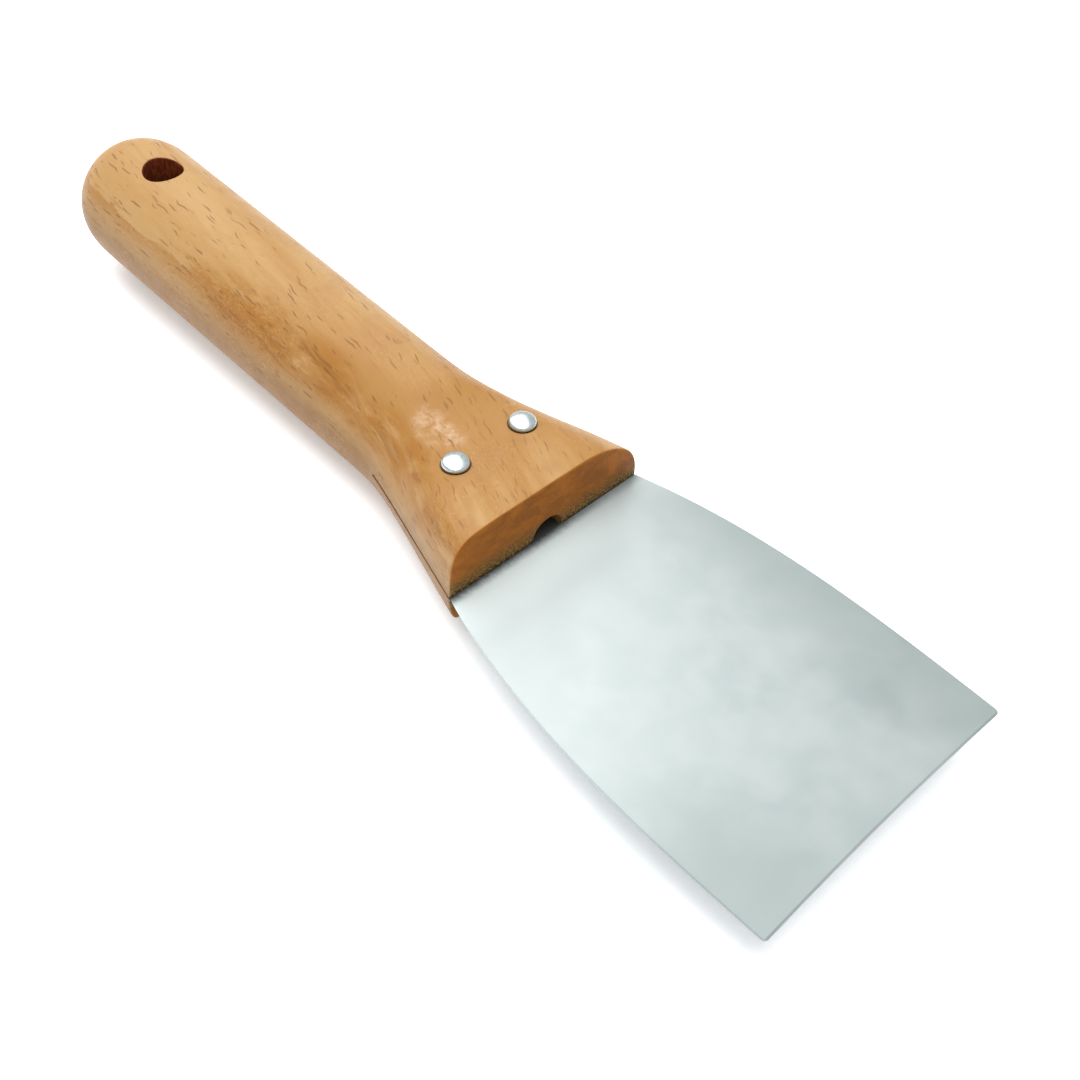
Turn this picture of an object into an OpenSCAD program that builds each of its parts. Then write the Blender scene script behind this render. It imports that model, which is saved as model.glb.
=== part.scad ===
// Uncapping scraper knife: a turned and flared beech handle, sawn to take a
// thin flared steel blade that two press-fit rivets hold.
// X runs along the tool towards the cutting edge, Y across the blade and Z
// square to it. The origin is on the hang hole's axis at the blade's middle.

/* [Handle] */
// Length of the handle, butt to front face
handle_len = 163.2; // [150:0.1:180]
// Diameter of the round grip at the neck
grip_d = 31.8; // [28:0.1:34]
// Growth of the grip's radius from the neck to the butt
grip_swell = 0.4; // [0:0.1:1.5]
// Width across the front face
front_w = 53.8; // [48:0.1:60]
// Distance from the front face back to where the flare begins
flare_len = 39.2; // [34:0.1:46]
// Length over which the flare eases out of the grip
flare_ease = 2.8; // [1:0.1:6]
// Height of the front end above the blade before the flat is planed
front_h = 16.6; // [15.8:0.1:18]
// Length of the rounded butt
butt_round = 15.9; // [10:0.1:22]
// Fullness of the rounded butt, 2 is an ellipse
butt_power = 2.4; // [2:0.1:4]

/* [Front corners] */
// Squareness of the left upper corner, 2 is an ellipse
corner_left = 5; // [2:0.1:6]
// Squareness of the right upper corner
corner_right = 2.4; // [2:0.1:6]
// Squareness of the two lower corners
corner_under = 2.5; // [2:0.1:6]
// Length over which the round grip takes on the corners
corner_run = 30; // [20:1:40]

/* [Planed flats] */
// Height of the upper flat above the blade at the front
top_flat_h = 15.7; // [14:0.1:16.2]
// Rise of the upper flat towards the front, degrees
top_flat_rise = 4.2; // [0:0.1:6]
// Length of the upper flat
top_flat_len = 24; // [22:0.5:30]
// Radius of the run-out behind the upper flat
top_runout_r = 24; // [12:1:60]
// Depth of the lower flat below the blade at the front
under_flat_h = 7.9; // [7:0.1:10]
// Fall of the lower flat towards the grip, degrees
under_flat_fall = 9.5; // [7:0.1:11]
// Length of the lower flat
under_flat_len = 36; // [30:0.5:40]
// Radius of the run-out behind the lower flat
under_runout_r = 90; // [30:1:150]

/* [Hang hole] */
// Diameter of the hang hole
hang_d = 9.8; // [7:0.1:12]
// Distance from the butt to the hang hole's axis
hang_inset = 25.2; // [20:0.1:32]

/* [Saw slot] */
// Depth of the slot at the middle, from the front face
slot_depth = 38; // [36:0.5:42]
// Radius of the saw that cut the slot
saw_r = 110; // [80:5:150]
// Diameter of the centre hole in the front face
centre_hole_d = 8.2; // [6:0.1:10]
// Depth of the centre hole
centre_hole_depth = 13; // [8:0.5:16]
// Height of the centre hole's axis above the blade
centre_hole_rise = 1.1; // [0:0.1:2]

/* [Blade] */
// Thickness of the sheet
blade_t = 0.8; // [0.6:0.05:1.2]
// Distance from the handle's front face to the cutting edge
blade_reach = 89.7; // [80:0.1:110]
// Width at the cutting edge
edge_w = 70; // [60:0.5:80]
// Width where the blade leaves the handle
root_w = 53.2; // [46:0.1:58]
// Bulge of each side beyond a straight line
side_bulge = 3.9; // [0:0.1:6]
// How far the bulge is moved towards the handle
side_skew = 5; // [0:0.1:6]
// Hollow of the cutting edge at its middle
edge_hollow = 0.6; // [0:0.1:2]
// Radius of the two corners of the edge
edge_corner_r = 0.9; // [0.4:0.1:3]
// Width of the dressed arris along the cutting edge
bevel_w = 0.4; // [0.2:0.1:3]
// Thickness left at the cutting edge
bevel_t = 0.4; // [0.2:0.05:0.5]
// Width of the tang at the front of the slot
tang_front_w = 46; // [40:0.5:48]
// Width of the tang at its end
tang_end_w = 28; // [24:0.5:30]
// Length of the tang in the slot
tang_len = 35; // [32:0.5:36]

/* [Rivets] */
// Distance from the front face to the rivets
rivet_inset = 17.2; // [14:0.1:20]
// Distance between the two rivets
rivet_gap = 18.6; // [16:0.1:22]
// Offset of the pair from the middle of the handle
rivet_shift = -1.3; // [-2:0.1:2]
// Diameter of a rivet's head
head_d = 6; // [5.5:0.1:8]
// Height of the domed part of a head
head_dome = 0.7; // [0.5:0.1:1.5]
// Height of the straight rim of a head
head_rim = 1.4; // [0.2:0.05:1.6]
// Diameter of the recess that seats a head
seat_d = 6.4; // [6.1:0.1:8.5]
// Depth of a recess at its shallow side
seat_depth = 0.2; // [0.05:0.05:0.4]
// Diameter of the rivet's pin
pin_d = 2.6; // [2:0.1:3]
// Diameter of the rivet's sleeve
sleeve_d = 4; // [3.4:0.1:4.6]
// Play of the sleeve in the blade, all round
rivet_play = 0.1; // [0.05:0.05:0.3]

/* [Hidden] */

beech = [0.83, 0.63, 0.40];
steel = [0.76, 0.81, 0.79];
nickel = [0.86, 0.87, 0.86];

butt_x = -hang_inset;
face_x = butt_x + handle_len;
neck_x = face_x - flare_len;
edge_x = face_x + blade_reach;
rivet_x = face_x - rivet_inset;
grip_r = grip_d / 2;
flare_slope = (front_w / 2 - grip_r) / flare_len;

// Stations along the handle and points round each section
butt_steps = 9;
grip_steps = 6;
flare_steps = 22;
round_steps = 56;
side_steps = 28;

// Height of each flat where the rivets pass through it
top_at_rivet = top_flat_h - rivet_inset * tan(top_flat_rise);
under_at_rivet = under_flat_h + rivet_inset * tan(under_flat_fall);
// Each seat is sunk so that even its shallow side is below the flat
top_seat_z = top_at_rivet - seat_d / 2 * tan(top_flat_rise) - seat_depth;
under_seat_z = under_at_rivet - seat_d / 2 * tan(under_flat_fall) - seat_depth;
// The pin stops this far short of the blind end of its sleeve
pin_gap = 0.5;
sleeve_top_z = top_seat_z - 1.2;

// Spherical cap of height head_dome on a circle of diameter head_d
dome_r = (pow(head_d / 2, 2) + pow(head_dome, 2)) / (2 * head_dome);

blade_hole_r = sleeve_d / 2 + rivet_play;
big = 80;

// Ramp that is flat below zero, straight above it and smooth between
function soft_ramp(u, ease) = ease * ln(1 + exp(u / ease));

// Step from 0 to 1 with level ends
function smooth_step(u) = let (t = min(1, max(0, u))) t * t * (3 - 2 * t);

// Signed power, for superellipse sections
function spow(v, p) = sign(v) * pow(abs(v), p);

// Share of the full section left at x by the rounding of the butt
function butt_share(x) =
  let (u = max(0, butt_x + butt_round - x) / butt_round)
  pow(max(0, 1 - pow(u, butt_power)), 1 / butt_power);

// How far the grip has swelled at x
function swell(x) = grip_swell * max(0, (neck_x - x) / (neck_x - butt_x));

function half_width(x) =
  (grip_r + swell(x) + flare_slope * soft_ramp(x - neck_x, flare_ease)) * butt_share(x);

// How far the section has gone from round to cornered at x
function cornered(x) = smooth_step((x - face_x + corner_run) / corner_run);

function half_height(x) =
  (grip_r + swell(x) + (front_h - grip_r) * cornered(x)) * butt_share(x);

// Squareness of the quadrant that angle a falls in
function squareness(x, a) =
  let (full = sin(a) < 0 ? corner_under : cos(a) < 0 ? corner_left : corner_right)
  2 + (full - 2) * cornered(x);

function section(x) = [
  for (i = [0:round_steps - 1])
    let (a = 360 * i / round_steps, p = 2 / squareness(x, a))
    [x, half_width(x) * spow(cos(a), p), half_height(x) * spow(sin(a), p)]
];

stations = [
  for (i = [1:butt_steps]) butt_x + butt_round * (1 - cos(90 * i / butt_steps)),
  for (i = [1:grip_steps])
    butt_x + butt_round + (neck_x - 8 - butt_x - butt_round) * i / grip_steps,
  for (i = [1:flare_steps]) neck_x - 8 + (flare_len + 8) * i / flare_steps
];

// Half width of the blade at a share u of its reach
function blade_half(u) =
  root_w / 2 + (edge_w - root_w) / 2 * u + 4 * side_bulge * u * (1 - u)
  + side_skew * u * (1 - u) * (1 - 2 * u);

// The turned and flared blank, as rings of points round a centre line
module blank() {
  m = round_steps;
  last = len(stations) - 1;
  points = [[butt_x, 0, 0], for (x = stations) each section(x)];
  butt_fan = [for (j = [0:m - 1]) [0, 1 + j, 1 + (j + 1) % m]];
  walls = [
    for (i = [0:last - 1], j = [0:m - 1])
      let (a = 1 + i * m + j, b = 1 + i * m + (j + 1) % m)
      each [[a, a + m, b], [b, a + m, b + m]]
  ];
  front = [[for (j = [0:m - 1]) 1 + last * m + j]];
  polyhedron(points = points, faces = concat(butt_fan, walls, front), convexity = 6);
}

// Space above a flat: level part, then a round run-out behind it
module flat_cutter(height, tilt, length, runout_r) {
  translate([face_x, 0, height])
    rotate([90, 0, 0])
      linear_extrude(height = big, center = true)
        rotate(tilt) {
          translate([-length, 0])
            square([length + 10, runout_r]);
          translate([-length, runout_r])
            circle(r = runout_r, $fn = 96);
        }
}

// Rivet positions, left (negative Y) then right
module at_rivet(side) {
  translate([rivet_x, rivet_shift + side * rivet_gap / 2, 0])
    children();
}

// Hole for one rivet through the wood, with its two seats
module rivet_hole() {
  translate([0, 0, -big / 2])
    cylinder(d = sleeve_d, h = big, $fn = 48);
  translate([0, 0, top_seat_z])
    cylinder(d = seat_d, h = big, $fn = 64);
  mirror([0, 0, 1])
    translate([0, 0, under_seat_z])
      cylinder(d = seat_d, h = big, $fn = 64);
}

// Slot with the round bottom that a circular saw leaves
module saw_slot() {
  translate([face_x - slot_depth + saw_r, 0, -blade_t / 2])
    cylinder(r = saw_r, h = blade_t, $fn = 180);
}

module handle() {
  color(beech)
    difference() {
      blank();
      flat_cutter(top_flat_h, top_flat_rise, top_flat_len, top_runout_r);
      mirror([0, 0, 1])
        flat_cutter(under_flat_h, -under_flat_fall, under_flat_len, under_runout_r);
      translate([0, 0, -big / 2])
        cylinder(d = hang_d, h = big, $fn = 72);
      translate([face_x - centre_hole_depth, 0, centre_hole_rise])
        rotate([0, 90, 0])
          cylinder(d = centre_hole_d, h = centre_hole_depth + 1, $fn = 60);
      saw_slot();
      at_rivet(-1)
        rivet_hole();
      at_rivet(1)
        rivet_hole();
    }
}

// Centre and radius of the arc that hollows the cutting edge
hollow_r = (pow(edge_w / 2, 2) + pow(edge_hollow, 2)) / (2 * edge_hollow);
hollow_x = edge_x - edge_hollow + hollow_r;

// One side of the plan, from the tang's end to the cutting edge
function side_points(s) = [
  [face_x - tang_len, s * tang_end_w / 2],
  [face_x, s * tang_front_w / 2],
  for (i = [0:side_steps])
    let (u = i / side_steps)
    [face_x + u * blade_reach, s * blade_half(u)]
];

function reversed(list) = [for (i = [len(list) - 1:-1:0]) list[i]];

// Corner of the cutting edge, as the waste outside its rounding
module corner_waste(s) {
  r = edge_corner_r;
  difference() {
    translate([edge_x - r, s > 0 ? edge_w / 2 - r : -edge_w / 2 - 1])
      square([r + 1, r + 1]);
    translate([edge_x - r, s * (edge_w / 2 - r)])
      circle(r = r, $fn = 48);
  }
}

// Plan of the blade and its tang in one piece
module blade_plan() {
  difference() {
    polygon(concat(side_points(1), reversed(side_points(-1))));
    corner_waste(1);
    corner_waste(-1);
    translate([hollow_x, 0])
      circle(r = hollow_r, $fn = 720);
  }
}

// Cone that grinds one face of the blade to a bevel along the hollow edge
module bevel_cutter() {
  rise = (blade_t - bevel_t) / 2;
  translate([hollow_x, 0, bevel_t / 2])
    cylinder(r1 = hollow_r, r2 = hollow_r + 2 * bevel_w, h = 2 * rise, $fn = 720);
}

module blade() {
  color(steel)
    difference() {
      translate([0, 0, -blade_t / 2])
        linear_extrude(height = blade_t)
          blade_plan();
      bevel_cutter();
      mirror([0, 0, 1])
        bevel_cutter();
      for (side = [-1, 1])
        at_rivet(side)
          translate([0, 0, -1])
            cylinder(r = blade_hole_r, h = 2, $fn = 48);
    }
}

// Domed head with a straight rim, seated at z = 0 and facing up
module rivet_head() {
  cylinder(d = head_d, h = head_rim, $fn = 64);
  translate([0, 0, head_rim])
    intersection() {
      translate([0, 0, head_dome - dome_r])
        sphere(r = dome_r, $fn = 128);
      cylinder(d = head_d, h = head_dome, $fn = 64);
    }
}

module rivet_pin(side) {
  color(nickel)
    at_rivet(side) {
      translate([0, 0, top_seat_z])
        rivet_head();
      translate([0, 0, -under_seat_z + pin_gap])
        cylinder(d = pin_d, h = top_seat_z + under_seat_z - pin_gap + 0.1, $fn = 48);
    }
}

module rivet_sleeve(side) {
  color(nickel)
    at_rivet(side)
      difference() {
        union() {
          mirror([0, 0, 1])
            translate([0, 0, under_seat_z])
              rivet_head();
          translate([0, 0, -under_seat_z - 0.1])
            cylinder(d = sleeve_d, h = sleeve_top_z + under_seat_z + 0.1, $fn = 48);
        }
        translate([0, 0, -under_seat_z])
          cylinder(d = pin_d, h = big, $fn = 48);
      }
}

module rivet_pin_left() {
  rivet_pin(-1);
}

module rivet_pin_right() {
  rivet_pin(1);
}

module rivet_sleeve_left() {
  rivet_sleeve(-1);
}

module rivet_sleeve_right() {
  rivet_sleeve(1);
}

handle();
blade();
rivet_pin_left();
rivet_pin_right();
rivet_sleeve_left();
rivet_sleeve_right();
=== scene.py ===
"""Looks of the uncapping scraper knife: varnished beech handle, satin steel
blade and two polished rivets, on a pale floor under soft studio light."""
import math

import bmesh
import bpy
import numpy as np
from mathutils import Matrix, Vector


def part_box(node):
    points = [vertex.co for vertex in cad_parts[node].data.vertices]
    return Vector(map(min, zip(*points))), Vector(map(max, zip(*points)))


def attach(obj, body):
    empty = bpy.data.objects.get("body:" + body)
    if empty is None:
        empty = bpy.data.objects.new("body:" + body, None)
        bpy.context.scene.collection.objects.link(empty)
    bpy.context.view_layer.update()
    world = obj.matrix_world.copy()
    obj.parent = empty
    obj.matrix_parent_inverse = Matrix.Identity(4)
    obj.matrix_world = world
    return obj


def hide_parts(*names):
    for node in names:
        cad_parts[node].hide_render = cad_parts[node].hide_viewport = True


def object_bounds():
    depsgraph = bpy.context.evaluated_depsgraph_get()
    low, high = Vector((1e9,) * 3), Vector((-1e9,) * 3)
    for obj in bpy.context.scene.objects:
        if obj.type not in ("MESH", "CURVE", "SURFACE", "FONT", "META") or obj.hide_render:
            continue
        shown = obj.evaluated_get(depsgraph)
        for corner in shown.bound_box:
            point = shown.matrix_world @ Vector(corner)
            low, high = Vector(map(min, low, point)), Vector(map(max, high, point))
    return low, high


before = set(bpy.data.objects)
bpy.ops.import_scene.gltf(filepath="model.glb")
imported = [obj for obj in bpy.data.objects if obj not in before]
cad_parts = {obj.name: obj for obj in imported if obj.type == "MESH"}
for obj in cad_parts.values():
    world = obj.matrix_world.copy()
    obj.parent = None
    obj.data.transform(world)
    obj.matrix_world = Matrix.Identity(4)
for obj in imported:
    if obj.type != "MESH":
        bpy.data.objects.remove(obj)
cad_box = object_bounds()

MM = 0.001


def box_mm(node):
    """Lowest and highest corners of a CAD node, in millimetres."""
    low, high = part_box(node)
    return np.array(low) / MM, np.array(high) / MM


# ---------------------------------------------------------------- dimensions
# All in millimetres, in the frame of the part: X towards the cutting edge,
# Y across the blade, Z square to it, origin on the hang hole's axis.
HANDLE_LOW, HANDLE_HIGH = box_mm("handle")
BLADE_LOW, BLADE_HIGH = box_mm("blade")
BUTT_X = HANDLE_LOW[0]
FACE_X = HANDLE_HIGH[0]
EDGE_X = BLADE_HIGH[0]
BLADE_T = BLADE_HIGH[2] - BLADE_LOW[2]

GRIP_R = 15.9
GRIP_SWELL = 0.4
FRONT_HALF_W = 26.9
FLARE_LEN = 39.2
FLARE_EASE = 2.8
FRONT_H = 16.6
BUTT_ROUND = 15.9
BUTT_POWER = 2.4
CORNER_LEFT = 5.0
CORNER_RIGHT = 2.4
CORNER_UNDER = 2.5
CORNER_RUN = 30.0
NECK_X = FACE_X - FLARE_LEN
FLARE_SLOPE = (FRONT_HALF_W - GRIP_R) / FLARE_LEN

# Planed flats: height at the front face, tilt, length, run-out radius
TOP_FLAT = dict(height=15.7, tilt=math.radians(4.2), length=24.0, runout=24.0)
UNDER_FLAT = dict(height=7.9, tilt=math.radians(-9.5), length=36.0, runout=90.0)
CREASE = 1.2        # width over which a flat's edge is sanded round
RUNOUT_CREASE = 2.4  # the same, where a flat runs out into the grip
FRONT_FILLET = 0.5  # rounding of the edge of the front face

HANG_R = 4.9
HANG_RIM = 0.5      # rounding of the hang hole's rim
HANG_BLOCK = 8.0    # half length of the patch of mesh round the hole

SLOT_DEPTH = 38.0
SAW_R = 110.0
CENTRE_HOLE_R = 4.1
CENTRE_HOLE_DEPTH = 13.0
CENTRE_HOLE_RISE = 1.1

HEAD_R = 3.0
HEAD_SHOULDER = 0.8  # rounding between a head's dome and its side
SEAT_R = 3.2
HEAD_RIM = 1.4
HEAD_DOME = 0.7
PIN_R = 1.3
SLEEVE_R = 2.0

# Mesh density
AROUND = 256        # points round a section of the handle
DENSE = 300         # points round a quadrant before they are spread evenly
TURN_WEIGHT = 4.0   # length of outline that a turn of one radian counts for
BUTT_RINGS = 26     # sections along the rounded butt
PATCH_CELLS = 26    # cells along the patch of mesh round the hang hole
PATCH_HALF = 20     # cells round the handle from the patch's middle to its side
PATCH_RINGS = 7     # rings from the patch's edge to the hole's rim
BODY_RINGS = 184    # sections from the patch to the front fillet
FILLET_RINGS = 6    # rings round the front fillet and the hole's rim
WALL_RINGS = 24     # rings down the wall of the hang hole
SAW_POINTS = 97     # points along the saw's arc
DOME_RINGS = 14     # rings from a head's crown to its shoulder
SHOULDER_RINGS = 9  # rings round a head's shoulder

# Reach of the cutting shapes, well past the wood
SAW_SWEEP = 0.4     # half angle of the saw's arc
PAST_FACE = 5.0
PAST_SIDES = 30.0

# Chamfers of the rivets
HEAD_CHAMFER = 0.05
PIN_CHAMFER = 0.3
SLEEVE_CHAMFER = 0.15
BORE_CHAMFER = 0.1


# ------------------------------------------------------------- handle shape
def soft_ramp(u, ease):
    """Zero below u = 0, u above it, smooth between."""
    return ease * np.logaddexp(0.0, u / ease)


def smooth_step(u):
    t = min(1.0, max(0.0, u))
    return t * t * (3 - 2 * t)


def smooth_min(a, b, width):
    """The lesser of a and b, with the corner between them rounded."""
    near = np.maximum(width - np.abs(a - b), 0) / width
    return np.minimum(a, b) - near * near * width / 4


def butt_share(x):
    u = max(0.0, BUTT_X + BUTT_ROUND - x) / BUTT_ROUND
    return max(0.0, 1 - u ** BUTT_POWER) ** (1 / BUTT_POWER)


def swell(x):
    return GRIP_SWELL * max(0.0, (NECK_X - x) / (NECK_X - BUTT_X))


def cornered(x):
    return smooth_step((x - FACE_X + CORNER_RUN) / CORNER_RUN)


def half_width(x):
    return (GRIP_R + swell(x) + FLARE_SLOPE * soft_ramp(x - NECK_X, FLARE_EASE)) * butt_share(x)


def half_height(x):
    return (GRIP_R + swell(x) + (FRONT_H - GRIP_R) * cornered(x)) * butt_share(x)


def flat_height(x, height, tilt, length, runout):
    """Height of a planed flat at x: level part, then a round run-out."""
    start_x = FACE_X - length * math.cos(tilt)
    if x >= start_x:
        return height + (x - FACE_X) * math.tan(tilt)
    centre_x = FACE_X - length * math.cos(tilt) - runout * math.sin(tilt)
    centre_z = height - length * math.sin(tilt) + runout * math.cos(tilt)
    across = x - centre_x
    if abs(across) >= runout:
        return centre_z + runout
    return centre_z - math.sqrt(runout ** 2 - across ** 2)


def quadrant(x, index):
    """Points of one quarter of the section at x, evenly spread along it,
    with more of them where it turns sharply."""
    full = CORNER_UNDER if index > 1 else (CORNER_RIGHT, CORNER_LEFT)[index]
    power = 2 / (2 + (full - 2) * cornered(x))
    a = np.linspace(0, math.pi / 2, DENSE)
    c, s = np.cos(a), np.sin(a)
    if index in (1, 3):
        c, s = s, c
    y = half_width(x) * c ** power * (1, -1, -1, 1)[index]
    z = half_height(x) * s ** power
    flat = UNDER_FLAT if index > 1 else TOP_FLAT
    level = x >= FACE_X - flat["length"]
    z = smooth_min(z, flat_height(x, **flat), CREASE if level else RUNOUT_CREASE)
    z = z * (1, 1, -1, -1)[index]
    dy, dz = np.diff(y), np.diff(z)
    step = np.hypot(dy, dz)
    turn = np.abs(np.diff(np.unwrap(np.arctan2(dz, dy))))
    weight = step.copy()
    weight[1:] += TURN_WEIGHT * turn
    along = np.concatenate([[0], np.cumsum(weight)])
    want = np.linspace(0, along[-1], AROUND // 4 + 1)[:-1]
    return np.column_stack([np.interp(want, along, y), np.interp(want, along, z)])


def ring(x):
    """Points (y, z) all round the section at x."""
    return np.concatenate([quadrant(x, i) for i in range(4)])


def inset(points, distance):
    """A closed ring of points moved inwards by a distance."""
    along = np.roll(points, -1, 0) - np.roll(points, 1, 0)
    along /= np.linalg.norm(along, axis=1)[:, None]
    inward = np.column_stack([-along[:, 1], along[:, 0]])
    return points + inward * distance


def handle_stations():
    """X of each ring from the butt to where the front fillet begins, and the
    number of the first ring of the hang hole's patch."""
    turn = np.linspace(0, math.pi / 2, BUTT_RINGS + 1)[1:]
    butt = BUTT_X + BUTT_ROUND * (1 - np.cos(turn) ** (2 / BUTT_POWER))
    hole = np.linspace(-HANG_BLOCK, HANG_BLOCK, PATCH_CELLS + 1)
    rest = np.linspace(HANG_BLOCK, FACE_X - FRONT_FILLET, BODY_RINGS + 1)[1:]
    return np.concatenate([butt, hole, rest]), len(butt)


def new_object(name, verts, faces):
    """A mesh object from points in millimetres."""
    mesh = bpy.data.meshes.new(name)
    mesh.from_pydata((np.asarray(verts) * MM).tolist(), [], faces)
    mesh.validate()
    obj = bpy.data.objects.new(name, mesh)
    bpy.context.scene.collection.objects.link(obj)
    return obj


def grip_surface(x, y):
    """Height of the round grip over the point (x, y)."""
    return half_height(x) * math.sqrt(max(0.0, 1 - (y / half_width(x)) ** 2))


def handle_blank():
    """The turned handle with its flats, rounded front edge and hang hole."""
    xs, hole_at = handle_stations()
    verts = [(BUTT_X, 0.0, 0.0)]
    for x in xs:
        verts += [(x, y, z) for y, z in ring(x)]
    section = ring(FACE_X - FRONT_FILLET)
    fillet = np.linspace(0, math.pi / 2, FILLET_RINGS + 1)[1:]
    for turn in fillet:
        points = inset(section, FRONT_FILLET * (1 - math.cos(turn)))
        x = FACE_X - FRONT_FILLET + FRONT_FILLET * math.sin(turn)
        verts += [(x, y, z) for y, z in points]
    rows = len(xs) + len(fillet)

    def at(i, j):
        return 1 + i * AROUND + j % AROUND

    # The patches left out for the hang hole, above and below
    i0, i1 = hole_at, hole_at + PATCH_CELLS
    patches = []
    for top in (AROUND // 4, 3 * AROUND // 4):
        patches.append((top - PATCH_HALF, top + PATCH_HALF))

    def in_patch(i, j):
        return i0 <= i < i1 and any(j0 <= j < j1 for j0, j1 in patches)

    faces = [(0, at(0, j + 1), at(0, j)) for j in range(AROUND)]
    for i in range(rows - 1):
        for j in range(AROUND):
            if not in_patch(i, j):
                faces.append((at(i, j), at(i, j + 1), at(i + 1, j + 1), at(i + 1, j)))
    faces.append(tuple(at(rows - 1, j) for j in range(AROUND)))

    loops = []
    for sign, (j0, j1) in zip((1, -1), patches):
        edge = [at(i0, j) for j in range(j0, j1)]
        edge += [at(i, j1) for i in range(i0, i1)]
        edge += [at(i1, j) for j in range(j1, j0, -1)]
        edge += [at(i, j0) for i in range(i1, i0, -1)]
        loops.append(hang_rim(verts, faces, edge, sign))
    hang_wall(verts, faces, loops)
    obj = new_object("handle_wood", verts, faces)
    recalculate_normals(obj)
    return obj


def hang_rim(verts, faces, edge, sign):
    """Fills from a patch's edge to the hole and rounds the rim down into it."""
    outer = np.array([verts[k][:2] for k in edge])
    angle = np.arctan2(outer[:, 1], outer[:, 0])
    circle = np.column_stack([np.cos(angle), np.sin(angle)])
    previous = edge
    rings = [
        (outer + (circle * (HANG_R + HANG_RIM) - outer) * t, 0.0)
        for t in np.linspace(0, 1, PATCH_RINGS + 1)[1:]
    ]
    for turn in np.linspace(0, math.pi / 2, FILLET_RINGS + 1)[1:]:
        radius = HANG_R + HANG_RIM * (1 - math.sin(turn))
        rings.append((circle * radius, HANG_RIM * (1 - math.cos(turn))))
    for points, drop in rings:
        first = len(verts)
        verts += [(x, y, sign * (grip_surface(x, y) - drop)) for x, y in points]
        current = list(range(first, first + len(edge)))
        faces += bridge(previous, current)
        previous = current
    return previous


def bridge(a, b):
    """Quads between two closed loops of the same length."""
    n = len(a)
    return [(a[k], a[(k + 1) % n], b[(k + 1) % n], b[k]) for k in range(n)]


def hang_wall(verts, faces, loops):
    """Wall of the hang hole between its two rims."""
    top, bottom = loops
    n = len(top)
    # The lower loop runs the other way round, so its points are matched by angle
    def turn_of(k):
        return math.atan2(verts[k][1], verts[k][0])

    start = turn_of(top[0])
    order = sorted(
        range(n), key=lambda m: abs(math.remainder(turn_of(bottom[m]) - start, math.tau))
    )[0]
    ahead = math.remainder(turn_of(bottom[(order + 1) % n]) - turn_of(bottom[order]), math.tau)
    same = ahead * math.remainder(turn_of(top[1]) - start, math.tau) > 0
    bottom = [bottom[(order + (k if same else -k)) % n] for k in range(n)]
    previous = top
    for s in range(1, WALL_RINGS + 1):
        if s == WALL_RINGS:
            current = bottom
        else:
            t = s / WALL_RINGS
            first = len(verts)
            for a, b in zip(top, bottom):
                verts.append(tuple(np.array(verts[a]) * (1 - t) + np.array(verts[b]) * t))
            current = list(range(first, first + n))
        faces += bridge(previous, current)
        previous = current


def recalculate_normals(obj):
    bm = bmesh.new()
    bm.from_mesh(obj.data)
    bmesh.ops.recalc_face_normals(bm, faces=bm.faces)
    bm.to_mesh(obj.data)
    bm.free()


def prism(name, outline, low, high, along="Z"):
    """A closed prism over an outline; along X the outline is (y, z)."""
    n = len(outline)
    verts = []
    for h in (low, high):
        verts += [(h, a, b) if along == "X" else (a, b, h) for a, b in outline]
    faces = [tuple(range(n)), tuple(range(n, 2 * n))]
    faces += bridge(list(range(n)), list(range(n, 2 * n)))
    obj = new_object(name, verts, faces)
    recalculate_normals(obj)
    return obj


def circle(x, y, radius, count=96):
    turns = np.linspace(0, math.tau, count, endpoint=False)
    return [(x + radius * math.cos(t), y + radius * math.sin(t)) for t in turns]


def cut(obj, cutter):
    """Takes the cutter out of the object and deletes it."""
    modifier = obj.modifiers.new("cut", "BOOLEAN")
    modifier.operation = "DIFFERENCE"
    modifier.solver = "MANIFOLD"
    modifier.object = cutter
    depsgraph = bpy.context.evaluated_depsgraph_get()
    mesh = bpy.data.meshes.new_from_object(obj.evaluated_get(depsgraph))
    obj.modifiers.clear()
    old = obj.data
    obj.data = mesh
    bpy.data.meshes.remove(old)
    cutter_mesh = cutter.data
    bpy.data.objects.remove(cutter)
    bpy.data.meshes.remove(cutter_mesh)


def shade(obj, sharp_above=38.0):
    """Smooth shading that keeps edges sharper than an angle."""
    bm = bmesh.new()
    bm.from_mesh(obj.data)
    for face in bm.faces:
        face.smooth = True
    for edge in bm.edges:
        if len(edge.link_faces) == 2:
            edge.smooth = edge.calc_face_angle(0.0) < math.radians(sharp_above)
    bm.to_mesh(obj.data)
    bm.free()


def rivet_axes():
    """(x, y) of the left and the right rivet, from their CAD nodes."""
    centres = []
    for side in ("left", "right"):
        low, high = box_mm("rivet_pin_" + side)
        centres.append(((low[0] + high[0]) / 2, (low[1] + high[1]) / 2))
    return centres


def seat_heights():
    """Z at which the heads sit, above and below the blade."""
    top = box_mm("rivet_pin_left")[1][2]
    under = box_mm("rivet_sleeve_left")[0][2]
    return top - HEAD_RIM - HEAD_DOME, under + HEAD_RIM + HEAD_DOME


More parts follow.
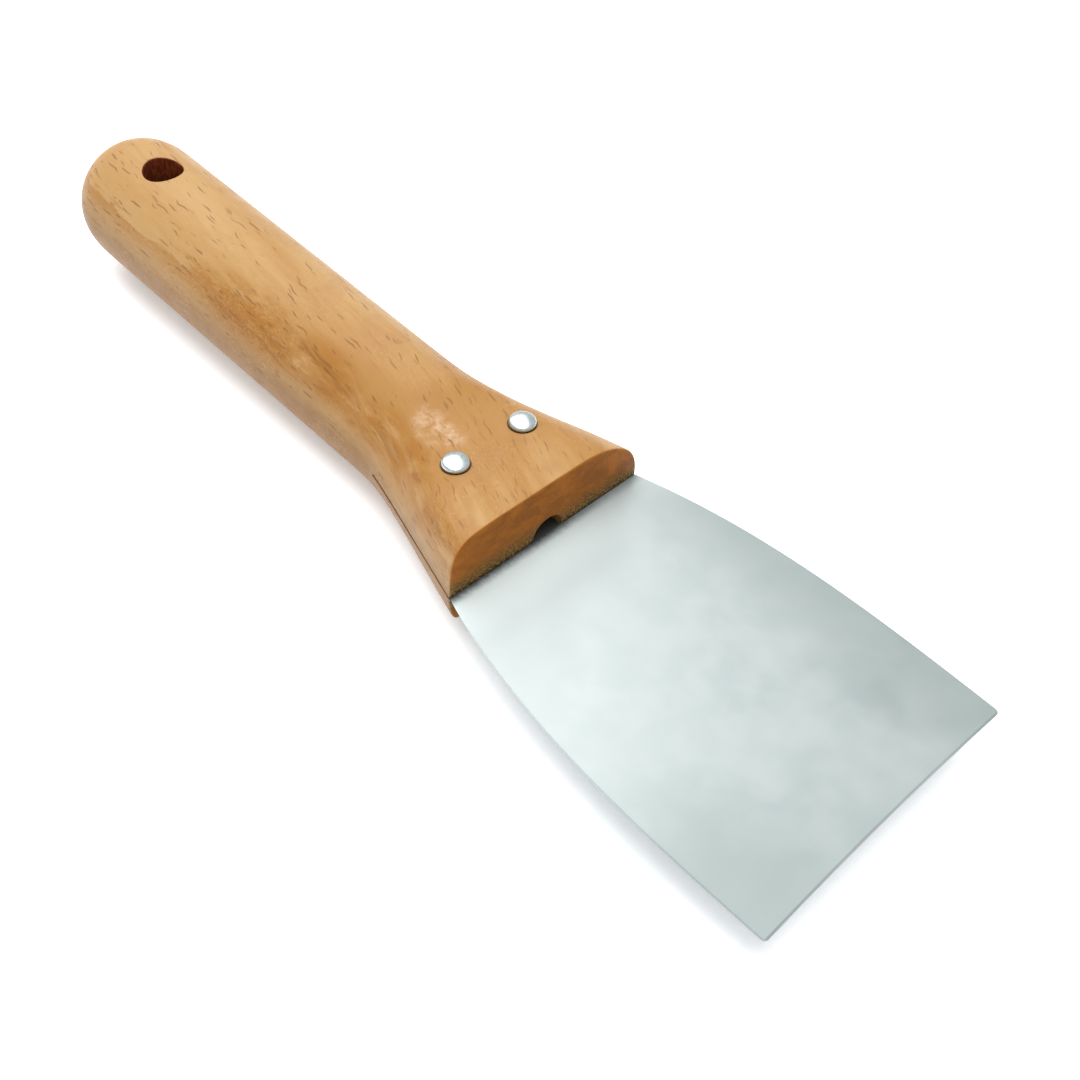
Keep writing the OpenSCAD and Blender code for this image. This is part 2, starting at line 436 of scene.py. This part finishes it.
def make_handle():
    """The handle with its saw slot, centre hole, rivet holes and seats."""
    obj = handle_blank()
    half = BLADE_T / 2
    centre = FACE_X - SLOT_DEPTH + SAW_R
    turns = np.linspace(math.pi - SAW_SWEEP, math.pi + SAW_SWEEP, SAW_POINTS)
    slot = [(centre + SAW_R * math.cos(t), SAW_R * math.sin(t)) for t in turns]
    slot += [(FACE_X + PAST_FACE, slot[-1][1]), (FACE_X + PAST_FACE, slot[0][1])]
    cut(obj, prism("slot", slot, -half, half))
    hole = circle(0, CENTRE_HOLE_RISE, CENTRE_HOLE_R)
    cut(obj, prism("centre_hole", hole, FACE_X - CENTRE_HOLE_DEPTH, FACE_X + PAST_FACE, "X"))
    top_seat, under_seat = seat_heights()
    for x, y in rivet_axes():
        cut(obj, prism("shank", circle(x, y, SLEEVE_R), -PAST_SIDES, PAST_SIDES))
        cut(obj, prism("seat", circle(x, y, SEAT_R), top_seat, PAST_SIDES))
        cut(obj, prism("seat", circle(x, y, SEAT_R), -PAST_SIDES, under_seat))
    shade(obj)
    return obj


# ------------------------------------------------------------------- rivets
def lathe(name, profile, x, y, count=96):
    """A closed solid turned about a vertical axis from (radius, z) points
    that start and end on the axis."""
    verts = [(x, y, profile[0][1]), (x, y, profile[-1][1])]
    loops = []
    for radius, z in profile[1:-1]:
        first = len(verts)
        verts += [(px, py, z) for px, py in circle(x, y, radius, count)]
        loops.append(list(range(first, first + count)))
    faces = [(0, loops[0][k], loops[0][(k + 1) % count]) for k in range(count)]
    for a, b in zip(loops, loops[1:]):
        faces += bridge(a, b)
    faces += [(1, loops[-1][k], loops[-1][(k + 1) % count]) for k in range(count)]
    obj = new_object(name, verts, faces)
    recalculate_normals(obj)
    shade(obj, 50.0)
    return obj


def head_profile(seat, up):
    """Domed head with a rounded shoulder, from its crown down to its seat."""
    dome_r = (HEAD_R ** 2 + HEAD_DOME ** 2) / (2 * HEAD_DOME)
    crown = seat + up * (HEAD_RIM + HEAD_DOME)
    shoulder = HEAD_SHOULDER
    # The shoulder's centre lies where it touches both the dome and the side
    reach = HEAD_R - shoulder
    centre = math.sqrt((dome_r - shoulder) ** 2 - reach ** 2) - dome_r
    touch = math.asin(reach / (dome_r - shoulder))
    points = [(0.0, crown)]
    for turn in np.linspace(0, touch, DOME_RINGS + 1)[1:]:
        points.append((dome_r * math.sin(turn), crown + up * dome_r * (math.cos(turn) - 1)))
    for turn in np.linspace(touch, math.pi / 2, SHOULDER_RINGS + 1)[1:]:
        drop = centre + shoulder * math.cos(turn)
        points.append((reach + shoulder * math.sin(turn), crown + up * drop))
    points.append((HEAD_R, seat + up * HEAD_CHAMFER))
    points.append((HEAD_R - HEAD_CHAMFER, seat))
    return points


def make_rivets():
    """A pin and a sleeve for each rivet, in place of their CAD nodes."""
    top_seat, under_seat = seat_heights()
    pieces = []
    for side, (x, y) in zip(("left", "right"), rivet_axes()):
        pin_end = box_mm("rivet_pin_" + side)[0][2]
        profile = head_profile(top_seat, 1)
        profile += [
            (PIN_R, top_seat), (PIN_R, pin_end + PIN_CHAMFER),
            (PIN_R - PIN_CHAMFER, pin_end), (0.0, pin_end),
        ]
        pin = lathe("rivet_pin_" + side + "_turned", profile, x, y)
        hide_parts("rivet_pin_" + side)
        sleeve_end = box_mm("rivet_sleeve_" + side)[1][2]
        profile = head_profile(under_seat, -1)
        profile += [
            (SLEEVE_R, under_seat), (SLEEVE_R, sleeve_end - SLEEVE_CHAMFER),
            (SLEEVE_R - SLEEVE_CHAMFER, sleeve_end), (PIN_R + BORE_CHAMFER, sleeve_end),
            (PIN_R, sleeve_end - BORE_CHAMFER), (PIN_R, under_seat), (0.0, under_seat),
        ]
        sleeve = lathe("rivet_sleeve_" + side + "_turned", profile, x, y)
        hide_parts("rivet_sleeve_" + side)
        pieces += [pin, sleeve]
    return pieces


# ---------------------------------------------------------------- materials
class Tree:
    """A material's nodes, with short calls for the ones used here."""

    def __init__(self, name):
        self.material = bpy.data.materials.new(name)
        self.material.use_nodes = True
        self.nodes = self.material.node_tree.nodes
        self.links = self.material.node_tree.links
        self.nodes.clear()
        self.output = self.nodes.new("ShaderNodeOutputMaterial")
        self.shader = self.nodes.new("ShaderNodeBsdfPrincipled")
        self.links.new(self.shader.outputs[0], self.output.inputs[0])

    def put(self, socket, value):
        if isinstance(value, bpy.types.NodeSocket):
            self.links.new(value, socket)
        else:
            socket.default_value = value

    def math(self, kind, a, b=0.0, c=0.0):
        node = self.nodes.new("ShaderNodeMath")
        node.operation = kind
        for socket, value in zip(node.inputs, (a, b, c)):
            self.put(socket, value)
        return node.outputs[0]

    def ramp(self, value, low, high, to_low=0.0, to_high=1.0):
        """Smooth change from to_low to to_high as value goes from low to high."""
        node = self.nodes.new("ShaderNodeMapRange")
        node.interpolation_type = "SMOOTHSTEP"
        for socket, number in zip(node.inputs, (value, low, high, to_low, to_high)):
            self.put(socket, number)
        return node.outputs[0]

    def position(self):
        """Place on the part in millimetres, and its three coordinates."""
        place = self.nodes.new("ShaderNodeTexCoord").outputs["Object"]
        node = self.nodes.new("ShaderNodeVectorMath")
        node.operation = "SCALE"
        self.put(node.inputs[0], place)
        node.inputs["Scale"].default_value = 1 / MM
        split = self.nodes.new("ShaderNodeSeparateXYZ")
        self.put(split.inputs[0], node.outputs[0])
        return node.outputs[0], split.outputs

    def vector(self, x, y, z):
        node = self.nodes.new("ShaderNodeCombineXYZ")
        for socket, value in zip(node.inputs, (x, y, z)):
            self.put(socket, value)
        return node.outputs[0]

    def scaled(self, vector, x, y, z):
        node = self.nodes.new("ShaderNodeVectorMath")
        node.operation = "MULTIPLY"
        self.put(node.inputs[0], vector)
        node.inputs[1].default_value = (x, y, z)
        return node.outputs[0]

    def noise(self, vector, scale, detail=2.0, rough=0.5, distort=0.0):
        node = self.nodes.new("ShaderNodeTexNoise")
        self.put(node.inputs["Vector"], vector)
        node.inputs["Scale"].default_value = scale
        node.inputs["Detail"].default_value = detail
        node.inputs["Roughness"].default_value = rough
        node.inputs["Distortion"].default_value = distort
        return node.outputs["Fac"]

    def voronoi(self, vector, scale, output="Distance", randomness=1.0):
        node = self.nodes.new("ShaderNodeTexVoronoi")
        self.put(node.inputs["Vector"], vector)
        node.inputs["Scale"].default_value = scale
        node.inputs["Randomness"].default_value = randomness
        return node.outputs[output]

    def mix(self, factor, a, b, kind="MIX"):
        node = self.nodes.new("ShaderNodeMix")
        node.data_type = "RGBA"
        node.blend_type = kind
        node.clamp_factor = True
        self.put(node.inputs[0], factor)
        for socket, value in ((node.inputs[6], a), (node.inputs[7], b)):
            self.put(socket, value if not isinstance(value, tuple) else (*value, 1.0))
        return node.outputs[2]

    def bump(self, height, distance, strength=1.0, normal=None):
        node = self.nodes.new("ShaderNodeBump")
        node.inputs["Strength"].default_value = strength
        node.inputs["Distance"].default_value = distance
        self.put(node.inputs["Height"], height)
        if normal is not None:
            self.put(node.inputs["Normal"], normal)
        return node.outputs[0]

    def finish(self, **sockets):
        for name, value in sockets.items():
            socket = self.shader.inputs[name.replace("_", " ").title().replace("Ior", "IOR")]
            self.put(socket, value)
        return self.material


def spot(tree, split, x, y, z, size_x, size):
    """1 at a place on the part, falling to 0 at its size away."""
    dx = tree.math("DIVIDE", tree.math("SUBTRACT", split[0], x), size_x)
    dy = tree.math("DIVIDE", tree.math("SUBTRACT", split[1], y), size)
    dz = tree.math("DIVIDE", tree.math("SUBTRACT", split[2], z), size)
    square = tree.math("MULTIPLY", dx, dx)
    square = tree.math("MULTIPLY_ADD", dy, dy, square)
    square = tree.math("MULTIPLY_ADD", dz, dz, square)
    return tree.ramp(square, 1.0, 0.0)


# Linear colours of the wood
TAN = (0.312, 0.158, 0.043)
TAN_LIGHT = (0.390, 0.234, 0.092)
TAN_PINK = (0.300, 0.144, 0.049)
# Painted shade for the lower side of the handle
TAN_PAINTED_SHADE = (0.205, 0.104, 0.034)
ORANGE = (0.268, 0.108, 0.015)
ORANGE_DARK = (0.156, 0.056, 0.010)
FLECK = (0.145, 0.058, 0.014)
END_GRAIN = (0.320, 0.100, 0.005)
END_GRAIN_DARK = (0.215, 0.068, 0.004)
END_GRAIN_MARK = (0.310, 0.140, 0.030)
GRIME = (0.060, 0.050, 0.018)
GRIME_SPECK = (0.320, 0.250, 0.085)
# Painted shade in the hang hole
HOLE_SHADE = (0.115, 0.018, 0.004)
# Painted shade round the rivet heads
RIVET_RING_SHADE = (0.045, 0.030, 0.016)
# A paler red of the painted shade in the hang hole
HOLE_SHADE_PALE = (0.230, 0.055, 0.014)
GRIME_LINE = (0.020, 0.017, 0.010)
# Colour of the painted highlight
PAINTED_HIGHLIGHT_WOOD = (0.460, 0.310, 0.195)

# Stained places: x, y, z, half length along the handle, radius across it
STAINS = [
    (54.0, -12.0, 9.0, 30.0, 8.0),
    (78.0, -11.0, 11.0, 16.0, 7.5),
    (104.0, -15.0, 11.0, 24.0, 8.0),
    (126.0, -23.5, 13.5, 18.0, 5.5),
]
# The painted highlight where the upper flat runs out, in the same way
PAINTED_HIGHLIGHT = (110.5, -6.3, 14.0, 9.0, 5.5)
# Ring lines: height of the line and its strength
RING_LINES = [(9.6, 0.60), (14.6, 0.15), (-3.0, 0.45), (-11.0, 0.5)]
# Ray flecks: cell length, cell width, reach in the cell, strength, shift
FLECKS = [
    (14.0, 1.50, 0.21, 0.62, 0.0),
    (9.0, 1.20, 0.20, 0.52, 431.0),
    (24.0, 2.00, 0.15, 0.62, 977.0),
]
FLAT_FLECKS = (9.0, 0.90, 0.24, 0.42, 233.0)  # on the upper flat only


def fleck_mask(t, split, across, wobble, length, width, reach, shift):
    """Short thin spindles along the grain, from the middles of long cells."""
    x, _, z = split
    along = t.math("ADD", x, shift)
    side = t.math("ADD", across, wobble)
    cells = t.scaled(t.vector(along, side, z), 1 / length, 1 / width, 1 / width)
    return t.ramp(t.voronoi(cells, 1.0), reach, reach * 0.5)


def ring_lines_and_low_shade(t, colour, level):
    """Growth rings lie level: painted shade darkens the wood low down, and ragged orange lines."""
    # Painted shade: darker wood low down, with a ragged edge
    colour = t.mix(t.math("MULTIPLY", t.ramp(level, 11.0, -1.0), 0.85), colour, TAN_PAINTED_SHADE)
    for ring_z, strength in RING_LINES:
        off = t.math("SUBTRACT", level, ring_z)
        line = t.math("MULTIPLY", t.ramp(off, 1.2, 0.0), t.ramp(off, -4.5, -0.2))
        colour = t.mix(t.math("MULTIPLY", line, strength), colour, ORANGE)
    return colour


def stained(t, split, colour, grain, ragged):
    """Saturated orange places with darker cores."""
    stain = None
    for x, y, z, size_x, size in STAINS:
        one = spot(t, split, x, y, z, size_x, size)
        stain = one if stain is None else t.math("MAXIMUM", stain, one)
    blotch = t.noise(t.scaled(grain, 0.06, 0.16, 0.16), 1.0, 4.0, 0.6, 1.5)
    stain = t.math("MULTIPLY", stain, t.ramp(blotch, 0.28, 0.60))
    colour = t.mix(t.math("MULTIPLY", stain, 0.85), colour, ORANGE)
    core = t.math("MULTIPLY", stain, t.ramp(ragged, 0.50, 0.66))
    return t.mix(t.math("MULTIPLY", core, 0.55), colour, ORANGE_DARK)


def ripple_mask(t, place, grain):
    """Light wavy ripples where the rays lie in the surface."""
    ripple = t.noise(t.scaled(grain, 0.20, 0.45, 0.45), 1.0, 2.0, 0.5, 2.5)
    ripple = t.ramp(t.math("ABSOLUTE", t.math("SUBTRACT", ripple, 0.5)), 0.035, 0.0)
    return t.math("MULTIPLY", ripple, t.ramp(t.noise(place, 0.05, 1.0), 0.42, 0.56))


def painted_highlight_mask(t, place, split):
    """Painted highlight: a paler colour where the upper flat runs out."""
    highlight = spot(t, split, *PAINTED_HIGHLIGHT)
    patchy = t.ramp(t.noise(place, 0.30, 3.0, 0.6, 0.5), 0.36, 0.62)
    sparkle = t.ramp(t.noise(place, 1.1, 3.0, 0.7), 0.34, 0.66, 0.35, 1.0)
    return t.math("MULTIPLY", t.math("MULTIPLY", highlight, patchy), sparkle)


def ray_flecks(t, place, split, grain, across):
    """Dark ray flecks of three sizes, and short ones on the upper flat."""
    x, _, z = split
    wobble = t.math("MULTIPLY", t.math("SUBTRACT", t.noise(place, 0.24, 1.0), 0.5), 2.2)
    alive = t.ramp(t.noise(t.scaled(grain, 0.06, 0.16, 0.16), 1.0, 1.0), 0.34, 0.54, 0.40, 1.0)
    flecks = None
    for length, width, reach, strength, shift in FLECKS:
        mask = fleck_mask(t, split, across, wobble, length, width, reach, shift)
        mask = t.math("MULTIPLY", t.math("MULTIPLY", mask, alive), strength)
        flecks = mask if flecks is None else t.math("MAXIMUM", flecks, mask)
    length, width, reach, strength, shift = FLAT_FLECKS
    mask = fleck_mask(t, split, across, wobble, length, width, reach, shift)
    planed = t.math("MULTIPLY", t.ramp(x, FACE_X - 34.0, FACE_X - 22.0), t.ramp(z, 11.0, 13.0))
    mask = t.math("MULTIPLY", t.math("MULTIPLY", mask, planed), strength)
    return t.math("MAXIMUM", flecks, mask)


def wood_colour(t, place, split, grain, across):
    """Colour and relief of the varnished surface."""
    x, _, z = split
    broad = t.noise(t.scaled(grain, 0.012, 0.075, 0.075), 1.0, 3.0, 0.55, 0.6)
    streak = t.noise(t.scaled(grain, 0.03, 0.40, 0.40), 1.0, 4.0, 0.6, 0.8)
    fine = t.noise(t.scaled(grain, 0.12, 1.9, 1.9), 1.0, 3.0, 0.6)
    cloud = t.noise(place, 0.055, 3.0, 0.6, 1.2)
    colour = t.mix(t.ramp(broad, 0.38, 0.66), TAN, TAN_LIGHT)
    colour = t.mix(t.math("MULTIPLY", t.ramp(cloud, 0.45, 0.70), 0.6), colour, TAN_PINK)
    # The grip is paler than the neck
    colour = t.mix(t.math("MULTIPLY", t.ramp(x, 105.0, 10.0), 0.85), colour, TAN_LIGHT)
    ragged = t.noise(t.scaled(grain, 0.045, 0.30, 0.30), 1.0, 4.0, 0.65, 1.0)
    level = t.math("MULTIPLY_ADD", t.math("SUBTRACT", ragged, 0.5), 9.0, z)
    level = t.math("MULTIPLY_ADD", t.math("SUBTRACT", broad, 0.5), 8.0, level)
    colour = ring_lines_and_low_shade(t, colour, level)
    colour = t.mix(t.math("MULTIPLY", t.ramp(streak, 0.50, 0.78), 0.20), colour, ORANGE)
    colour = t.mix(t.math("MULTIPLY", t.ramp(fine, 0.52, 0.80), 0.16), colour, FLECK)
    colour = stained(t, split, colour, grain, ragged)
    ripple = ripple_mask(t, place, grain)
    colour = t.mix(t.math("MULTIPLY", ripple, 0.50), colour, TAN_LIGHT)
    # Painted highlight where the upper flat runs out
    highlight = painted_highlight_mask(t, place, split)
    colour = t.mix(t.math("MULTIPLY", highlight, 0.85), colour, PAINTED_HIGHLIGHT_WOOD)
    flecks = ray_flecks(t, place, split, grain, across)
    colour = t.mix(flecks, colour, FLECK)
    relief = t.math("MULTIPLY_ADD", fine, 0.45, t.math("MULTIPLY", ripple, 0.2))
    relief = t.math("SUBTRACT", relief, t.math("MULTIPLY", flecks, 0.8))
    return colour, relief


def front_colour(t, place, split):
    """Colour and saw marks of the front face, with grime by the blade."""
    x, y, z = split
    slant = t.math("MULTIPLY_ADD", z, 0.55, y)
    saw = t.noise(t.scaled(t.vector(x, slant, z), 1.0, 3.2, 0.22), 1.0, 4.0, 0.7)
    patch = t.noise(t.scaled(place, 1, 0.13, 0.22), 1.0, 3.0, 0.6, 0.8)
    colour = t.mix(t.ramp(patch, 0.35, 0.68), END_GRAIN_DARK, END_GRAIN)
    colour = t.mix(t.math("MULTIPLY", t.ramp(saw, 0.48, 0.74), 0.30), colour, END_GRAIN_MARK)
    fuzz = t.noise(place, 1.0, 4.0, 0.75)
    height = t.math("MULTIPLY_ADD", t.math("SUBTRACT", fuzz, 0.5), 6.0, t.math("ABSOLUTE", z))
    film = t.math("MULTIPLY", t.ramp(height, 7.0, 1.5), 0.60)
    colour = t.mix(film, colour, GRIME)
    speck = t.ramp(t.noise(place, 2.0, 2.0, 0.6), 0.53, 0.62)
    colour = t.mix(t.math("MULTIPLY", t.math("MULTIPLY", film, speck), 1.2), colour, GRIME_SPECK)
    grime = t.ramp(height, 1.9, 0.1)
    colour = t.mix(t.math("MULTIPLY", grime, 0.92), colour, GRIME_LINE)
    return colour, saw


def wood_material():
    """Varnished beech: level growth rings, dark ray flecks, stained places, painted shade,
    a painted highlight, a sawn front face with grime at the blade, and a hang hole painted dark as
    shade."""
    t = Tree("varnished_beech")
    place, split = t.position()
    x, y, z = split
    # The grain drifts to the left along the handle, more so on the flare
    past = t.math("MAXIMUM", t.math("SUBTRACT", x, 20.0), 0.0)
    drift = t.math("MULTIPLY", t.math("POWER", past, 3.0), 0.00001)
    drift = t.math("MULTIPLY_ADD", x, 0.07, drift)
    across = t.math("ADD", y, drift)
    grain = t.vector(x, across, z)
    colour, relief = wood_colour(t, place, split, grain, across)
    front = t.ramp(x, FACE_X - 0.40, FACE_X - 0.12)
    face, saw = front_colour(t, place, split)
    colour = t.mix(front, colour, face)
    # Wall of the hang hole, painted dark red-brown as shade
    out = t.math("SQRT", t.math("MULTIPLY_ADD", y, y, t.math("MULTIPLY", x, x)))
    bore = t.ramp(out, HANG_R + 0.25, HANG_R + 0.02)
    bore_grain = t.noise(t.scaled(place, 1.5, 1.5, 0.5), 1.0, 3.0)
    colour = t.mix(bore, colour, t.mix(t.ramp(bore_grain, 0.40, 0.75), HOLE_SHADE, HOLE_SHADE_PALE))
    # Painted shade: a dark ring on the wood round the heads of the rivets
    for rivet_x, rivet_y in rivet_axes():
        dx = t.math("SUBTRACT", x, float(rivet_x))
        dy = t.math("SUBTRACT", y, float(rivet_y))
        away = t.math("SQRT", t.math("MULTIPLY_ADD", dx, dx, t.math("MULTIPLY", dy, dy)))
        colour = t.mix(t.math("MULTIPLY", t.ramp(away, SEAT_R + 0.20, SEAT_R - 0.05), 0.7), colour, RIVET_RING_SHADE)
    # Uneven varnish, dull where the wood is bare
    gloss = t.noise(place, 0.25, 3.0, 0.6)
    rough = t.ramp(gloss, 0.3, 0.7, 0.42, 0.54)
    bare = t.math("MAXIMUM", bore, t.math("MULTIPLY", front, 0.75))
    rough = t.math("MAXIMUM", rough, t.math("MULTIPLY", bare, 0.85))
    orange_peel = t.noise(place, 1.6, 2.0, 0.5)
    relief = t.math("MULTIPLY_ADD", orange_peel, 0.6, relief)
    relief = t.math("MULTIPLY_ADD", t.math("MULTIPLY", saw, front), 1.8, relief)
    normal = t.bump(relief, 0.00012, 0.55)
    coat = t.math("SUBTRACT", 0.06, t.math("MULTIPLY", bare, 0.06))
    return t.finish(
        base_color=colour, roughness=rough, normal=normal, ior=1.25,
        coat_weight=coat, coat_roughness=0.18, coat_ior=1.5,
    )


# Linear colours of the blade, the rivets and the floor
STEEL_DEEP = (0.285, 0.327, 0.319)
STEEL = (0.330, 0.372, 0.364)
STEEL_MOTTLE = (0.375, 0.410, 0.404)
# Painted light (pale) and painted shade (dark) on the blade
STEEL_PAINTED_LIGHT = (0.455, 0.500, 0.489)
STEEL_PAINTED_SHADE = (0.180, 0.217, 0.208)
# Painted light on the blade beside the handle
STEEL_PAINTED_LIGHT_BY_HANDLE = (0.600, 0.680, 0.672)
STEEL_GRIME = (0.014, 0.015, 0.012)
NICKEL_HAZE = (0.48, 0.54, 0.54)
NICKEL = (0.58, 0.64, 0.64)
FLOOR_DEEP = (0.89, 0.905, 0.92)
FLOOR_PALE = (0.91, 0.925, 0.94)


def steel_material():
    """Cold-rolled sheet: cloudy satin steel with a very fine grain, and painted light and shade."""
    t = Tree("satin_steel")
    place, split = t.position()
    x, y, _ = split
    cloud = t.noise(place, 0.055, 2.0, 0.5, 0.4)
    mottle = t.noise(place, 0.13, 2.0, 0.5)
    grain = t.noise(t.scaled(place, 0.25, 9.0, 1.0), 1.0, 2.0, 0.6)
    colour = t.mix(t.ramp(cloud, 0.30, 0.70), STEEL_DEEP, STEEL)
    colour = t.mix(t.math("MULTIPLY", t.ramp(mottle, 0.36, 0.66), 0.35), colour, STEEL_MOTTLE)
    # Painted light and shade: paler towards the handle and the left, darker at the right and the tip
    warp = t.math("MULTIPLY", t.math("SUBTRACT", cloud, 0.5), 50.0)
    painted_light = t.ramp(t.math("ADD", t.math("MULTIPLY_ADD", y, 0.9, x), warp), 205.0, 110.0)
    colour = t.mix(t.math("MULTIPLY", painted_light, 0.55), colour, STEEL_PAINTED_LIGHT)
    painted_shade = t.ramp(t.math("MULTIPLY_ADD", x, 0.06, t.math("MULTIPLY_ADD", warp, -0.15, y)), 20.0, 42.0)
    tip = t.ramp(t.math("MULTIPLY_ADD", warp, 0.4, x), EDGE_X - 42.0, EDGE_X + 8.0)
    corner = spot(t, split, EDGE_X + 2.0, -36.0, 0.0, 46.0, 34.0)
    painted_shade = t.math("MAXIMUM", painted_shade, t.math("MAXIMUM", t.math("MULTIPLY", tip, 0.45), corner))
    colour = t.mix(t.math("MULTIPLY", painted_shade, 0.55), colour, STEEL_PAINTED_SHADE)
    past_face = t.math("SUBTRACT", x, FACE_X)
    # A strip beside the handle painted pale as light, strongest on the left; it is less metallic there
    # too
    painted_light_strip = t.math("MULTIPLY", t.ramp(past_face, 14.0, 1.0), t.ramp(y, 22.0, -6.0, 0.15, 1.0))
    colour = t.mix(t.math("MULTIPLY", painted_light_strip, 0.90), colour, STEEL_PAINTED_LIGHT_BY_HANDLE)
    # Grime along the handle, thinner to the right
    fuzz = t.noise(place, 0.9, 4.0, 0.7)
    reach = t.math("MULTIPLY_ADD", t.math("SUBTRACT", fuzz, 0.5), -1.1, past_face)
    outside = t.ramp(past_face, -0.2, 0.2)
    thin = t.math("MULTIPLY", outside, t.ramp(y, -2.0, 24.0, 0.0, 0.55))
    grime = t.math("MULTIPLY", t.ramp(reach, 2.7, -0.2), t.math("SUBTRACT", 1.0, thin))
    colour = t.mix(t.math("MULTIPLY", grime, 0.98), colour, STEEL_GRIME)
    rough = t.ramp(cloud, 0.3, 0.7, 0.38, 0.48)
    rough = t.math("MULTIPLY_ADD", grain, 0.06, rough)
    rough = t.math("MAXIMUM", rough, t.math("MULTIPLY", grime, 0.75))
    metal = t.math("MULTIPLY", t.ramp(past_face, 1.0, 24.0, 0.12, 0.40), t.math("SUBTRACT", 1.0, grime))
    normal = t.bump(grain, 0.00002, 0.25)
    return t.finish(base_color=colour, roughness=rough, metallic=metal, normal=normal)


def rivet_material():
    """Polished nickel with faint haze and scuffs."""
    t = Tree("polished_nickel")
    place, _ = t.position()
    haze = t.noise(place, 0.9, 3.0, 0.6)
    scuff = t.noise(t.scaled(place, 3.0, 0.6, 1.0), 1.0, 4.0, 0.7)
    colour = t.mix(t.ramp(haze, 0.35, 0.7), NICKEL_HAZE, NICKEL)
    rough = t.ramp(scuff, 0.4, 0.8, 0.24, 0.36)
    normal = t.bump(haze, 0.00002, 0.3)
    return t.finish(base_color=colour, roughness=rough, metallic=1.0, normal=normal)


def floor_material():
    """White sweep with a faint tooth, which gives off a little light."""
    t = Tree("white_sweep")
    place, _ = t.position()
    tooth = t.noise(place, 0.4, 2.0)
    colour = t.mix(t.ramp(tooth, 0.3, 0.7), FLOOR_DEEP, FLOOR_PALE)
    return t.finish(
        base_color=colour, roughness=0.9,
        emission_color=(1.0, 1.0, 1.0, 1.0), emission_strength=0.25,
    )


# ------------------------------------------------------------- stage, camera
EDGE_LIFT = 12.0     # height of the cutting edge over the floor
FLOOR_HALF = 3000.0  # half width of the floor
ROOM_COLOUR = (0.97, 0.98, 1.0, 1.0)
ROOM_STRENGTH = 0.80


def rest_slope(points):
    """The point of the floor under the cutting edge, and the slope at which
    the floor through it touches the part from below."""
    foot = (EDGE_X, BLADE_LOW[2] / 2 - EDGE_LIFT)
    rise = (foot[1] - points[:, 2]) / (foot[0] - points[:, 0])
    return foot, rise.max()


def make_floor(pieces):
    """A sloping floor, not part of the model."""
    points = []
    for piece in pieces:
        points += [tuple(vertex.co / MM) for vertex in piece.data.vertices]
    foot, slope = rest_slope(np.array(points))
    verts = []
    for side_x, side_y in ((-1, -1), (1, -1), (1, 1), (-1, 1)):
        dx = side_x * FLOOR_HALF
        verts.append((foot[0] + dx, side_y * FLOOR_HALF, foot[1] + dx * slope))
    floor = new_object("floor", verts, [(0, 1, 2, 3)])
    floor.data.materials.append(floor_material())


CAMERA_AZIMUTH = math.radians(-47.79)
CAMERA_ELEVATION = math.radians(48.66)
CAMERA_ROLL = math.radians(5.62)
CAMERA_DISTANCE = 302.8
CAMERA_AIM = (29.2, 6.4, -13.1)  # from the middle of the part's box
CAMERA_LENS = 45.67


def make_camera():
    middle = np.array(cad_box[0] + cad_box[1]) / 2 / MM
    aim = Vector(middle + np.array(CAMERA_AIM))
    back = Vector((
        math.cos(CAMERA_ELEVATION) * math.cos(CAMERA_AZIMUTH),
        math.cos(CAMERA_ELEVATION) * math.sin(CAMERA_AZIMUTH),
        math.sin(CAMERA_ELEVATION),
    ))
    data = bpy.data.cameras.new("camera")
    data.lens = CAMERA_LENS
    data.sensor_width = 36.0
    data.clip_start = 0.01
    data.clip_end = 20.0
    camera = bpy.data.objects.new("camera", data)
    bpy.context.scene.collection.objects.link(camera)
    turn = (-back).to_track_quat("-Z", "Y").to_matrix().to_4x4()
    turn = turn @ Matrix.Rotation(CAMERA_ROLL, 4, "Z")
    camera.matrix_world = Matrix.Translation((aim + back * CAMERA_DISTANCE) * MM) @ turn
    bpy.context.scene.camera = camera


def soft_box(name, direction, distance, width, height, radiance):
    """A rectangular light facing the middle of the part, from a direction."""
    data = bpy.data.lights.new(name, "AREA")
    data.shape = "RECTANGLE"
    data.size = width
    data.size_y = height
    data.energy = radiance * math.pi * width * height
    light = bpy.data.objects.new(name, data)
    middle = (cad_box[0] + cad_box[1]) / 2
    way = Vector(direction).normalized()
    light.location = middle + way * distance
    light.rotation_mode = "QUATERNION"
    light.rotation_quaternion = (-way).to_track_quat("-Z", "Y")
    bpy.context.scene.collection.objects.link(light)


def make_lights():
    soft_box("key", (-0.50, 0.18, 0.85), 1.0, 1.0, 1.0, 2.5)
    soft_box("top_fill", (0.05, -0.12, 1.0), 1.3, 0.8, 0.8, 6.0)
    world = bpy.data.worlds.new("pale_room")
    world.use_nodes = True
    background = world.node_tree.nodes["Background"]
    background.inputs["Color"].default_value = ROOM_COLOUR
    background.inputs["Strength"].default_value = ROOM_STRENGTH
    bpy.context.scene.world = world


# --------------------------------------------------------------------- build
handle_wood = make_handle()
handle_wood.data.materials.clear()
handle_wood.data.materials.append(wood_material())
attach(handle_wood, "root")
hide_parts("handle")

nickel = rivet_material()
rivets = make_rivets()
for piece in rivets:
    piece.data.materials.append(nickel)
    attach(piece, "root")

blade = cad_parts["blade"]
blade.material_slots[0].material = steel_material()

make_floor([handle_wood] + rivets)
make_camera()
make_lights()
bpy.context.scene.view_settings.view_transform = "Standard"
